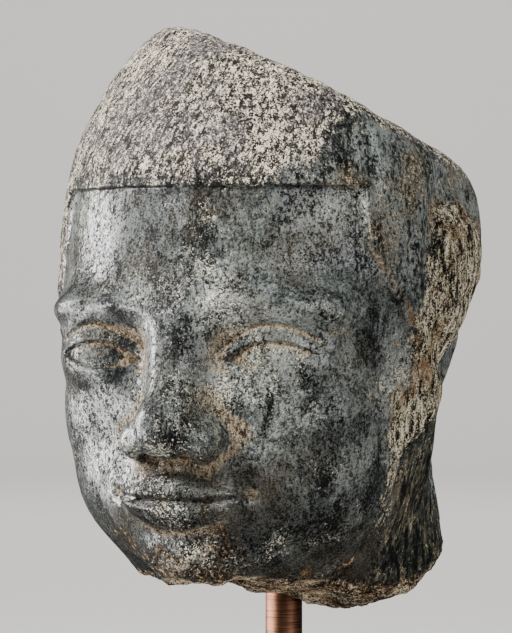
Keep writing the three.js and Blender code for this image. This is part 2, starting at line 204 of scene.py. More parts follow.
def carveMouth(d, x, y, z, front):
    # two rolled lips either side of a seam that rises to its corners
    mouth = head["mouth"]
    s = x / mouth["half"]
    inside = np.clip(1 - s * s, 0, 1)
    seamZ = mouth["z"] + mouth["cornerRise"] * s * s - 0.5 * hump((s - 0.55) / 0.3)
    upperEdge = mouth["lipUp"] * (1 - np.clip(s, 0, 1.2) ** 1.8) - 1.1 * hump(x / 3)
    lowerEdge = mouth["lipDown"] * inside ** 0.8
    up = np.clip(np.maximum(z - seamZ, 0) / np.maximum(upperEdge, 0.5), 0, 3)
    down = np.clip(np.maximum(seamZ - z, 0) / np.maximum(lowerEdge, 0.5), 0, 3)
    upper = 2.6 * np.clip(1 - up ** 2.2, 0, 1) + 0.9 * step(1.22, 0.95, up)
    lower = 3.8 * np.clip(1 - down ** 2.2, 0, 1) + 0.8 * step(1.2, 0.95, down)
    fromSeam = np.minimum(1, np.abs(z - seamZ) / 3.2)
    rise = np.where(z > seamZ, upper, lower) * inside ** 0.4 * np.sqrt(1 - (1 - fromSeam) ** 2)
    seam = hump((z - seamZ) / 0.8) * step(1.18, 0.9, s)
    corner = 1.2 * hump((s - 1.02) / 0.1) * hump((z - seamZ) / 2.5)
    groove, chin, fold = head["lipGroove"], head["underLip"], head["cheekFold"]
    underNose = groove["deep"] * hump(x / groove["wide"]) * between(groove, z)
    overChin = chin["deep"] * hump(x / chin["wide"]) * hump((z - chin["z"]) / chin["tall"])
    foldX = fold["x"] + (fold["z"] - z) * fold["lean"]
    cheekFold = fold["deep"] * hump((x - foldX) / fold["wide"]) * between(fold, z)
    return d + (seam + corner + underNose + overChin + cheekFold - rise) * front


def turnOf(x, y):
    # degrees round the head from the front, on either side
    return np.degrees(np.arctan2(np.abs(x), 2 - y))


def insideHair(x, y, z):
    # how far inside the hair: straight brow line, square temple, sideburn, then down behind the ear
    turn = turnOf(x, y)
    line = head["hairLine"]
    lean = 124 - 20 * (turn - 49) / 13
    temple = np.maximum(z - line, np.minimum((turn - 49) * 1.25, (z - lean) * 0.65))
    toEar = (z - 104 + 3 * (turn - 62)) * 0.4
    toNeck = (z - 86 + 76 * (turn - 68) / 65) * 0.7
    return np.select([turn < 49, turn < 62, turn < 68], [z - line, temple, toEar], toNeck)


def earRemains(x, y, z):
    # a worn lump in a groove, and the stone lost below it
    ear, loss = head["ear"], head["loss"]
    turn = turnOf(x, y)
    across = (turn - ear["turn"]) * 1.25
    lump = np.sqrt((across / ear["across"]) ** 2 + ((z - ear["z"]) / ear["tall"]) ** 2)
    lost = np.sqrt(((across - loss["behindEar"]) / loss["across"]) ** 2 + ((z - loss["z"]) / loss["tall"]) ** 2)
    deeper = (1 + 0.7 * step(0, 20, z - ear["z"])) * step(114, 94, turn)
    groove = ear["groove"] * hump((lump - 1.15) / 0.24) * deeper
    return ear["lift"] * step(1.05, 0.5, lump) - groove - loss["depth"] * step(1, 0.2, lost)


def wobble(x, y, z, size):
    # uneven waves of about the given length: the mean of three sines, each bent by another
    def wave(ax, ay, az, turns, start):
        return np.sin((x * ax + y * ay + z * az) / size * turns + start)
    a = wave(0.8, 0.5, 0.33, 6.3, 1.3 * wave(0, 0.7, -0.6, 3.9, 0))
    b = wave(-0.45, 0.75, -0.6, 6.9, 1 + 1.7 * wave(0.9, 0, 0.3, 3.1, 0))
    c = wave(0.3, -0.35, 0.9, 5.7, 2 + 1.5 * wave(0.4, 0.8, 0, 4.3, 0))
    return (a + b + c) / 3


def beyondPlane(x, y, z, face):
    out = x * face["facing"][0] + y * face["facing"][1] + z * face["facing"][2]
    return out - face["at"] + face["waveHigh"] * wobble(x, y, z, face["waves"])


def behindBack(x, y, z):
    face, up = breaks["back"], z - breaks["back"]["middleZ"]
    bow = face["dome"] * (x ** 2 + 0.7 * up ** 2) + x * face["leanSide"] + up * face["leanUp"]
    uneven = breaks["backWaves"]
    return y - face["y"] + bow + uneven["waveHigh"] * wobble(x, y, z, uneven["waves"])


def underNeck(x, y, z):
    face = breaks["neck"]
    away = ((x - face["lowest"][0]) ** 2 + (y - face["lowest"][1]) ** 2) / face["spread"]
    return (face["rise"] * (1 - np.exp(-away)) - z) * 0.95 + wobble(x, y, z, face["waves"])


def stoneForm(x, y, z):
    # the carving, then the crown, the back and the neck broken away
    side = np.abs(x)
    front = step(-20, -40, y)
    d = headMass(side, y, z)
    d = carveEye(d, side, y, z, front)
    d = carveNose(d, side, y, z)
    d = carveMouth(d, side, y, z, front)
    d = d - head["hairThick"] * step(-0.7, 0.7, insideHair(x, y, z)) * step(82, 64, turnOf(x, y))
    d = d - earRemains(x, y, z)
    d = breakOff(d, beyondPlane(x, y, z, breaks["crown"]), breaks["crown"]["soft"])
    d = breakOff(d, behindBack(x, y, z), breaks["back"]["soft"])
    d = breakOff(d, beyondPlane(x, y, z, breaks["corner"]), breaks["corner"]["soft"])
    d = breakOff(d, underNeck(x, y, z), breaks["neck"]["soft"])
    return breakOff(d, beyondPlane(x, y, z, breaks["chip"]), breaks["chip"]["soft"])


# rows of rays, top to bottom: each band has its rows, where on the axis they start, and their tip from
# straight up in degrees, and runs evenly to the next band
rayNet = {
    "columns": 372,
    "finer": 4,
    "face": [
        (10, 143.9, 8), (1, 143.9, 90), (6, 142.3, 90), (4, 108.4, 92), (10, 101.5, 93), (7, 86.8, 95),
        (5, 78.7, 104), (2, 76.4, 108), (8, 70.5, 106), (5, 52.5, 106), (6, 42.5, 112), (0, 40, 160),
    ],
    "back": [(10, 143.9, 8), (48, 143.9, 90), (6, 42.5, 112), (0, 40, 160)],
    "faceToBack": (0.8, 1.25),
}


def spread(count, density, low, high):
    # angles that lie closer together where density is higher
    t = np.linspace(low, high, 4000)
    total = np.cumsum(density(t))
    return np.interp(np.linspace(0, 1, count), (total - total[0]) / (total[-1] - total[0]), t)


def bandRows(bands):
    starts, tips = [], []
    for (count, start, tip), (_, nextStart, nextTip) in zip(bands, bands[1:]):
        t = np.arange(count * rayNet["finer"]) / (count * rayNet["finer"])
        starts.append(start + (nextStart - start) * t)
        tips.append(tip + (nextTip - tip) * t)
    return np.append(np.concatenate(starts), bands[-1][1]), np.append(np.concatenate(tips), bands[-1][2])


def stoneGrid():
    # point(u, v): the ray that turns u from the front and tips v from straight up, cut where the form is zero
    density = lambda t: 0.3 + hump(t / 0.9) * 0.6 + 0.25 * hump((np.abs(t) - 1.6) / 0.4)
    turns = spread(rayNet["columns"] + 1, density, -math.pi, math.pi)[:-1]
    faceStart, faceTip = bandRows(rayNet["face"])
    backStart, backTip = bandRows(rayNet["back"])
    toBack = step(*rayNet["faceToBack"], np.abs(turns))[None, :]
    start = faceStart[:, None] * (1 - toBack) + backStart[:, None] * toBack
    tip = np.radians(faceTip[:, None] * (1 - toBack) + backTip[:, None] * toBack)
    dx, dy, dz = np.sin(turns) * np.sin(tip), -np.cos(turns) * np.sin(tip), np.cos(tip)
    reach = np.full(dx.shape, 118.0)
    for _ in range(70):
        d = stoneForm(dx * reach, dy * reach, start + dz * reach)
        reach = reach - 0.6 * d
        if np.abs(d).max() < 0.01:
            break
    return turns, np.stack([dx * reach, dy * reach, start + dz * reach], -1)


def gridNormals(points):
    # cross product of the steps round and down the grid, which closes on itself round the head
    round_ = np.roll(points, -1, 1) - np.roll(points, 1, 1)
    down = np.gradient(points, axis=0)
    normal = np.cross(down, round_)
    return normal / (np.linalg.norm(normal, axis=-1, keepdims=True) + 1e-12)


def hollowness(points, normals, reach):
    # how sharply the surface bends inwards, in parts of a millimetre: second differences over squared steps
    down = np.pad(points, ((reach, reach), (0, 0), (0, 0)), mode="edge")
    bend = 0
    for ahead, behind in ((down[2 * reach:], down[:-2 * reach]), (np.roll(points, reach, 1), np.roll(points, -reach, 1))):
        length2 = np.sum((ahead - behind) ** 2, -1) / 4 + 0.05
        bend = bend + np.sum((ahead + behind - 2 * points) * normals, -1) / length2
    return bend


turns, smooth = stoneGrid()
normals = gridNormals(smooth)
x, y, z = smooth[..., 0], smooth[..., 1], smooth[..., 2]
print("stage 2: stone worked out on a grid of", smooth.shape[:2])

# where each kind of surface lies: 0 to 1, with a half at its edge, and the shader frays the edges
turn = turnOf(x, y)
leftTurn = np.degrees(np.arctan2(x, 2 - y))  # over zero on the figure's left
edgeNoise = grain(x, y, z, 9, 11)
wander = grain(x, y, z, 22, 15, 3)


def near(distance, full, none):
    # 1 within the first distance of a break, 0 beyond the second
    return step(none, full, np.abs(distance))


underBreak = near(underNeck(x, y, z), 0.5, 3.5)
rimBreak = step(3, -3, z - 11 - 4 * edgeNoise - 0.05 * (y + 10)) * step(-30, 5, y + 10)
chipBreak = near(beyondPlane(x, y, z, breaks["chip"]), 1, 4)
broken = np.maximum(np.maximum(underBreak, rimBreak), chipBreak)
crownBreak = near(beyondPlane(x, y, z, breaks["crown"]), 1, 5)
backBreak = np.maximum(near(behindBack(x, y, z), 1, 6), near(beyondPlane(x, y, z, breaks["corner"]), 1, 6))
backBreak = backBreak * step(100, 125, turn + 8 * edgeNoise)
hair = step(-0.6, 0.6, insideHair(x, y, z) + 0.5 * edgeNoise) * (1 - broken)

# the ear's scar lies between two turns that change with height
scarPlaces = {
    "z": [17, 30, 44, 53, 61, 70, 80, 96, 106, 123, 135, 140],
    "front": [64, 59.5, 58, 58, 60, 61.5, 65, 67, 68, 71.5, 76, 84],
    "back": [66, 63, 65, 68.5, 74, 82, 94, 98, 101, 115, 104, 96],
}
scarFront = np.interp(z, scarPlaces["z"], scarPlaces["front"])
scarBack = np.interp(z, scarPlaces["z"], scarPlaces["back"])
scarEdge = turn - scarFront + 4 * edgeNoise + 2.5 * wander
scar = step(-6, 5, scarEdge) * step(-5, 5, scarBack - turn + 3 * edgeNoise)
scar = scar * step(144, 136, z + 2 * edgeNoise) * step(14, 30, z) * (0.6 + 0.4 * step(40, 62, z))

# the cap's front, top and right side are pecked pale; the figure's left temple is left darker
capEdge = np.interp(leftTurn, [22, 32, 47, 60, 80, 100], [136, 149, 166, 171, 165, 155])
pecked = step(-20, 24, z - capEdge + 9 * wander)
pecked = np.where(leftTurn < 22, 1, pecked) * (1 - 0.45 * hump((z - 144) / 5))
pecked = np.maximum(pecked, 0.75 * np.maximum(crownBreak, backBreak)) * hair * (1 - scar)
pecked = np.maximum(pecked, backBreak * 0.75 * (1 - broken))
neckSide = step(60, 76, turn) * step(84, 58, z) * (1 - scar) * (1 - broken) * (1 - backBreak)
templeHair = hair * (1 - pecked) * (1 - scar)

# low relief in millimetres for each kind, pushed out along the normal
relief = {
    "pecked": 0.45 * grain(x, y, z, 3.4, 1, 2) + 0.55 * grain(x, y, z, 9, 2, 2) + 0.6 * grain(x, y, z, 26, 3, 2),
    "temple": 0.4 * grain(x, y, z, 4, 4, 2, 3.0) + 1.1 * grain(x, y, z, 11, 5, 2, 2.6),
    "scar": 0.8 * grain(x, y, z, 3.4, 6, 2, 3.2) + 1.2 * grain(x, y, z, 10, 7, 2, 2.2),
    "broken": 0.9 * grain(x, y, z, 4.5, 8, 3) + 1.6 * grain(x, y, z, 13, 9, 2),
    "neck": 0.6 * grain(x, y, z, 5, 10, 2, 7.0) + 0.6 * grain(x, y, z, 16, 12, 2, 2.0),
    "face": 0.4 * grain(x, y, z, 15, 13, 2) + 0.1 * grain(x, y, z, 4, 14, 2),
}
chinPatch = 0.62 * step(46, 2, turn + 12 * wander + 8 * edgeNoise) * step(40, 24, z + 6 * edgeNoise)
chinPatch = np.maximum(chinPatch, step(22, 8, z + 4 * edgeNoise + 3 * wander) * step(80, 60, turn)) * (1 - broken)
# the crown's break and the back's rim are ragged, and the chin is gouged
raggedRim = np.maximum(crownBreak * step(-10, 25, y), backBreak) * (1 - broken)

weights = {"pecked": pecked, "temple": templeHair, "scar": scar, "broken": broken, "neck": neckSide}
bare = np.clip(1 - sum(weights.values()), 0, 1)
push = bare * relief["face"] + sum(weights[name] * relief[name] for name in weights)
push = push + raggedRim * (1.5 * grain(x, y, z, 19, 16, 2) + 0.9 * grain(x, y, z, 7, 17, 2))
push = push - 1.6 * chinPatch * step(0.15, 0.7, grain(x, y, z, 6.5, 18, 2, 1.8))
rough = smooth + normals * push[..., None]

# the last ring closes round the rod's hole, then its wall and its end
holeRadius = (rodHigh.x - rodLow.x) / 2 / millimetre + stoneSeat["clearance"]
ringX = stoneSeat["rodUnderHead"][0] + holeRadius * np.sin(turns)
ringY = stoneSeat["rodUnderHead"][1] - holeRadius * np.cos(turns)
ringZ = np.full(turns.shape, -10.0)
for _ in range(60):
    ringZ = ringZ + 0.6 * stoneForm(ringX, ringY, ringZ)
holeTop = stoneSeat["rodMeetsStone"] + stoneSeat["rodInStone"] + stoneSeat["clearance"]
mouthRing = np.stack([ringX, ringY, ringZ], -1)[None]
topRing = np.stack([ringX, ringY, np.full(turns.shape, holeTop)], -1)[None]
halfRing = (rough[-1:] + mouthRing) / 2
rough = np.concatenate([rough, halfRing, mouthRing, topRing])


def padRows(values, count, value=1.0):
    return np.concatenate([values, np.full((count, values.shape[1]), value)])


hollow = 0.1 * hollowness(smooth, normals, 2) + 0.9 * hollowness(smooth, normals, 6)
hollow = hollow + 2.8 * hollowness(smooth, normals, 12)
hollow = hollow * (1 - hump((z - head["hairLine"]) / 3) * step(50, 44, turn))


def gridMesh(name, points, caps=()):
    # quads between neighbouring rows and columns, closed round, with a fan on a first or last row
    rows, columns = points.shape[:2]
    index = np.arange(rows * columns).reshape(rows, columns)
    nextColumn = np.roll(index, -1, 1)
    quads = np.stack([index[:-1], index[1:], nextColumn[1:], nextColumn[:-1]], -1).reshape(-1, 4)
    vertices = points.reshape(-1, 3)
    faces = quads.tolist()
    if "first" in caps:
        vertices = np.vstack([vertices, points[0].mean(0)])
        fan = np.stack([np.full(columns, len(vertices) - 1), index[0], nextColumn[0]], -1)
        faces += fan.tolist()
    if "last" in caps:
        vertices = np.vstack([vertices, points[-1].mean(0)])
        fan = np.stack([np.full(columns, len(vertices) - 1), nextColumn[-1], index[-1]], -1)
        faces += fan.tolist()
    mesh = bpy.data.meshes.new(name)
    mesh.from_pydata(vertices.tolist(), [], faces)
    mesh.polygons.foreach_set("use_smooth", np.ones(len(mesh.polygons), bool))
    mesh.update()
    piece = bpy.data.objects.new(name, mesh)
    bpy.context.scene.collection.objects.link(piece)
    return piece


def paintPoints(piece, name, values):
    # a number for each point of the grid, with the mean of the end rows on the fans' middles
    middles = [values[0].mean(), values[-1].mean()]
    flat = np.append(values.reshape(-1), middles).astype(np.float32)
    piece.data.attributes.new(name, "FLOAT", "POINT").data.foreach_set("value", flat)


shift = np.array([-stoneSeat["rodUnderHead"][0], -stoneSeat["rodUnderHead"][1], 0])
placed = (rough + shift) * millimetre + np.array([0, 0, stoneBase])
stonePiece = gridMesh("stone_carving", placed, ("first", "last"))
extra = rough.shape[0] - smooth.shape[0]
darkBrow = hump((leftTurn - 1 + 6 * wander) / 13) * step(116, 130, z + 6 * wander)
darkBrow = np.maximum(darkBrow, 0.8 * step(133, 140, z + 3 * wander) * step(-20, -8, leftTurn) * step(44, 34, leftTurn))
darkRight = 0.55 * step(8, -6, leftTurn + 8 * wander)
paleBrow = step(12, 20, leftTurn + 8 * wander) * step(134, 126, z + 6 * wander) * step(98, 108, z)
crust = hump((leftTurn + 4 + 10 * wander) / 16) * step(34, 46, z + 6 * wander) * step(92, 72, z + 6 * wander)
crust = np.maximum(crust, 0.8 * hump((leftTurn - 4) / 14) * hump((z - 118 - 6 * wander) / 7))
hairEdge = hump(insideHair(x, y, z) / 0.9) * step(44, 52, turn) * step(76, 66, turn)
for name, values in {
    "pecked": padRows(pecked, extra, 0),
    "temple": padRows(templeHair, extra, 0),
    "scar": padRows(scar, extra, 0),
    "broken": padRows(broken, extra),
    "neck": padRows(neckSide, extra, 0),
    "hollow": padRows(np.clip(hollow * 3, -1, 1), extra, 0),
    "patch": padRows((np.maximum(darkBrow, darkRight) - 0.4 * paleBrow) * (1 - hair), extra, 0),
    "chinPatch": padRows(chinPatch, extra, 0),
    "hairEdge": padRows(hairEdge, extra, 0),
    # towards the jaw the face gets fewer blue-grey patches and more warm film: partly real film, partly painted shade
    "jawFilmAndPaintedShade": padRows(step(56, 14, z) * (1 - broken), extra, 0),
    "crust": padRows(crust, extra, 0),
}.items():
    paintPoints(stonePiece, name, values)
print("stage 3: stone mesh of", len(stonePiece.data.polygons), "faces")


class Wire:
    # a shader socket that takes part in sums
    def __init__(self, shop, socket):
        self.shop, self.socket = shop, socket

    def math(self, operation, *values):
        sockets = {i: v for i, v in enumerate(values)}
        return self.shop.node("ShaderNodeMath", {"operation": operation}, sockets)

    def __add__(self, other):
        return self.math("ADD", self, other)

    def __sub__(self, other):
        return self.math("SUBTRACT", self, other)

    def __mul__(self, other):
        return self.math("MULTIPLY", self, other)

    def __truediv__(self, other):
        return self.math("DIVIDE", self, other)

    def __radd__(self, other):
        return self.math("ADD", other, self)

    def __rsub__(self, other):
        return self.math("SUBTRACT", other, self)

    def __rmul__(self, other):
        return self.math("MULTIPLY", other, self)

    def power(self, other):
        return self.math("POWER", self, other)

    def least(self, other):
        return self.math("MINIMUM", self, other)

    def most(self, other):
        return self.math("MAXIMUM", self, other)

    def ramp(self, low, high):
        # 0 below low, 1 above high, smooth between
        settings = {"interpolation_type": "SMOOTHSTEP"}
        return self.shop.node("ShaderNodeMapRange", settings, {"Value": self, "From Min": low, "From Max": high})


class Workshop:
    # one material's nodes
    def __init__(self, name):
        self.material = bpy.data.materials.new(name)
        self.material.use_nodes = True
        self.tree = self.material.node_tree
        self.shader = self.tree.nodes["Principled BSDF"]

    def node(self, kind, settings=None, sockets=None, output=0):
        made = self.tree.nodes.new(kind)
        for key, value in (settings or {}).items():
            setattr(made, key, value)
        for key, value in (sockets or {}).items():
            if isinstance(value, Wire):
                self.tree.links.new(value.socket, made.inputs[key])
            else:
                made.inputs[key].default_value = value
        return Wire(self, made.outputs[output])

    def attribute(self, name):
        return self.node("ShaderNodeAttribute", {"attribute_name": name}, output="Fac")

    def noise(self, where, scale, detail=3.0, roughness=0.55, distortion=0.0):
        sockets = {"Vector": where, "Scale": scale, "Detail": detail}
        sockets.update({"Roughness": roughness, "Distortion": distortion})
        return self.node("ShaderNodeTexNoise", {}, sockets)

    def colour(self, mask, low, high):
        return self.node("ShaderNodeMix", {"data_type": "RGBA"}, {0: mask, 6: low, 7: high}, output=2)

    def place(self, stretch=(1, 1, 1), turn=(0, 0, 0)):
        # object places for a pattern that is stretched along its own axes and then turned
        object_ = self.node("ShaderNodeTexCoord", output="Object")
        sockets = {"Vector": object_, "Scale": stretch, "Rotation": turn}
        return self.node("ShaderNodeMapping", {"vector_type": "TEXTURE"}, sockets)

    def bump(self, height, distance, strength=1.0, after=None):
        sockets = {"Height": height, "Distance": distance, "Strength": strength}
        if after is not None:
            sockets["Normal"] = after
        return self.node("ShaderNodeBump", {}, sockets)

    def set(self, **values):
        for key, value in values.items():
            socket = self.shader.inputs[key.replace("_", " ")]
            if isinstance(value, Wire):
                self.tree.links.new(value.socket, socket)
            else:
                socket.default_value = value


def tone(r, g, b):
    # a display colour out of 255, made linear
    linear = [v / 255 / 12.92 if v / 255 <= 0.04045 else ((v / 255 + 0.055) / 1.055) ** 2.4 for v in (r, g, b)]
    return (*linear, 1.0)


stoneTones = {
    "nearBlack": tone(14, 15, 15),
    "slate": tone(58, 62, 60),
    "blueGrey": tone(120, 125, 121),
    "greenBlack": tone(54, 60, 53),
    "film": tone(84, 76, 60),
    # the pecked hair's dark: partly the stone's own, partly painted shadow in its pits
    "peckedDarkAndPitShadow": tone(40, 37, 32),
    "peckedMid": tone(106, 101, 95),
    "peckedPale": tone(246, 235, 211),
    "lavender": tone(98, 96, 99),
    "olive": tone(112, 104, 84),
    "cream": tone(222, 212, 188),
    "fleck": tone(190, 184, 166),
    "sand": tone(176, 156, 124),
    "ochre": tone(132, 102, 70),
    "earth": tone(70, 50, 33),
}


def stoneNoises(w):
    # every noise has its mean at a half, so a sum whose weights make 1 has too
    even = w.place()
    upright = w.place((1, 1, 1.6))
    drawn = w.place((1, 1, 4.5))
    return {
        "broad": w.noise(even, 36, 4, 0.6),
        "drift": w.noise(w.place((1, 1, 1.3), (0.7, 0.4, 1.1)), 44, 5, 0.66),
        "patch": w.noise(upright, 95, 8, 0.7, 0.5),
        "crumb": w.noise(upright, 860, 3, 0.72, 0.3),
        "fine": w.noise(even, 1700, 2, 0.65),
        "dust": w.noise(even, 2700, 1, 0.5),
        "grit": w.noise(even, 980, 2, 0.6, 0.8),
        "streak": w.noise(drawn, 480, 4, 0.68, 0.4),
        "stroke": w.noise(w.place((1, 1, 3), (0, 0.42, 0)), 660, 3, 0.65, 0.3),
        "scratch": w.noise(w.place((3.3, 3.3, 1), (0.1, -0.35, 0)), 1500, 2, 0.6, 0.3),
        "layer": w.noise(w.place((3, 3, 1), (0.1, 0.15, 0)), 620, 3, 0.65, 0.4),
    }


def faceTone(w, n, patch, jaw, crust):
    # near-black and blue-grey mottling under a warm film, dark pits, and pale flecks that gather where crust is high;
    # towards the jaw, fewer blue-grey patches and more film, partly real film and partly painted shade
    t = stoneTones
    mottle = n["patch"] * 0.48 + n["crumb"] * 0.27 + n["fine"] * 0.25 - patch * 0.035 - jaw * 0.025
    colour = w.colour(mottle.ramp(0.435, 0.525), t["nearBlack"], t["slate"])
    pale = n["broad"] * 0.3 + n["patch"] * 0.28 + n["crumb"] * 0.27 + n["scratch"] * 0.15 - patch * 0.05 - jaw * 0.06
    colour = w.colour(pale.ramp(0.475, 0.575) * 0.9, colour, t["blueGrey"])
    film = n["drift"] * 0.6 + n["crumb"] * 0.25 + n["fine"] * 0.15 + jaw * 0.03
    colour = w.colour(film.ramp(0.48, 0.6) * 0.3, colour, t["film"])
    pits = n["fine"] * 0.45 + n["grit"] * 0.35 + n["dust"] * 0.2
    pits = pits.ramp(0.47, 0.42)
    colour = w.colour(pits * 0.85, colour, t["nearBlack"])
    flecks = n["grit"] * 0.3 + n["dust"] * 0.2 + n["broad"] * 0.4 + n["fine"] * 0.1 - patch * 0.015 + crust * 0.045
    flecks = flecks.ramp(0.565, 0.6)
    return w.colour(flecks * 0.85, colour, t["fleck"]), flecks, pits


def cappedTone(w, n):
    # pecked hair: pale crumbs over dark pits, in bluer and creamier clouds; the dark between the crumbs is partly the
    # stone's own and partly painted shadow in the pits
    t = stoneTones
    crumbs = n["crumb"] * 0.22 + n["stroke"] * 0.3 + n["fine"] * 0.36 + n["dust"] * 0.12
    colour = w.colour(crumbs.ramp(0.455, 0.525), t["peckedDarkAndPitShadow"], t["peckedMid"])
    cloud = n["broad"] * 0.5 + n["patch"] * 0.5
    colour = w.colour(cloud.ramp(0.54, 0.46) * 0.5, colour, t["lavender"])
    colour = w.colour((crumbs * 0.8 + cloud * 0.2).ramp(0.5, 0.565), colour, t["peckedPale"])
    # the pits get more dark colour: partly the stone's own, partly painted shadow of pits too fine for the mesh
    pits = n["grit"] * 0.2 + n["stroke"] * 0.45 + n["fine"] * 0.35
    return w.colour(pits.ramp(0.48, 0.43) * 0.95, colour, t["peckedDarkAndPitShadow"])


def templeTone(w, n):
    # side hair: slate clouds with upright streaks, a warm film and a few sandy specks
    t = stoneTones
    base = n["patch"] * 0.3 + n["streak"] * 0.2 + n["crumb"] * 0.3 + n["fine"] * 0.2
    colour = w.colour(base.ramp(0.45, 0.52), t["nearBlack"], t["slate"])
    pale = n["broad"] * 0.2 + n["patch"] * 0.25 + n["streak"] * 0.2 + n["crumb"] * 0.35
    colour = w.colour(pale.ramp(0.475, 0.555) * 0.95, colour, t["blueGrey"])
    colour = w.colour((n["drift"] * 0.6 + n["streak"] * 0.4).ramp(0.49, 0.58) * 0.55, colour, t["film"])
    pits = n["fine"] * 0.45 + n["grit"] * 0.35 + n["dust"] * 0.2
    colour = w.colour(pits.ramp(0.46, 0.415) * 0.9, colour, t["nearBlack"])
    return w.colour((n["grit"] * 0.35 + n["drift"] * 0.25 + n["dust"] * 0.2 + n["crumb"] * 0.2).ramp(0.555, 0.59) * 0.85, colour, t["sand"])


def neckTone(w, n):
    t = stoneTones
    base = n["streak"] * 0.4 + n["patch"] * 0.25 + n["crumb"] * 0.35
    colour = w.colour(base.ramp(0.455, 0.535), t["nearBlack"], t["greenBlack"])
    film = n["drift"] * 0.4 + n["streak"] * 0.4 + n["crumb"] * 0.2
    colour = w.colour(film.ramp(0.5, 0.58) * 0.6, colour, t["film"])
    pits = n["grit"] * 0.5 + n["streak"] * 0.5
    colour = w.colour(pits.ramp(0.485, 0.44), colour, t["nearBlack"])
    return w.colour((n["streak"] * 0.45 + n["grit"] * 0.35 + n["dust"] * 0.2).ramp(0.56, 0.61) * 0.7, colour, t["sand"])


def scarTone(w, n):
    # torn stone: cream crumbs drawn upright over olive grey, dark gaps between them that are partly painted shadow, and
    # earthy stains
    t = stoneTones
    crumbs = n["streak"] * 0.34 + n["crumb"] * 0.26 + n["fine"] * 0.4
    colour = w.colour(crumbs.ramp(0.45, 0.505), t["nearBlack"], t["olive"])
    colour = w.colour(crumbs.ramp(0.505, 0.55), colour, t["cream"])
    stain = n["drift"] * 0.4 + n["patch"] * 0.3 + n["crumb"] * 0.3
    colour = w.colour(stain.ramp(0.49, 0.57) * 0.65, colour, t["ochre"])
    # dark gaps among the crumbs: partly the stone's own dark, partly painted shadow
    gapsWithShadow = n["streak"] * 0.5 + n["grit"] * 0.35 + n["patch"] * 0.15
    return w.colour(gapsWithShadow.ramp(0.475, 0.425) * 0.9, colour, t["nearBlack"])


def brokenTone(w, n):
    # underside and chips: earth brown and ochre with cream and black crumbs, and dark gaps in its cavities that are
    # partly painted shadow
    t = stoneTones
    crumbs = n["patch"] * 0.35 + n["crumb"] * 0.35 + n["fine"] * 0.3
    colour = w.colour(crumbs.ramp(0.44, 0.52), t["nearBlack"], t["earth"])
    stain = n["drift"] * 0.4 + n["patch"] * 0.3 + n["crumb"] * 0.3
    colour = w.colour(stain.ramp(0.48, 0.56) * 0.8, colour, t["ochre"])
    colour = w.colour(crumbs.ramp(0.515, 0.565) * 0.9, colour, t["sand"])
    flecks = n["patch"] * 0.35 + n["grit"] * 0.35 + n["dust"] * 0.3
    colour = w.colour(flecks.ramp(0.53, 0.575) * 0.9, colour, t["cream"])
    # dark gaps in the cavities: partly the stone's own dark, partly painted shadow
    gapsWithShadow = n["layer"] * 0.6 + n["grit"] * 0.4
    return w.colour(gapsWithShadow.ramp(0.475, 0.425) * 0.92, colour, t["nearBlack"])


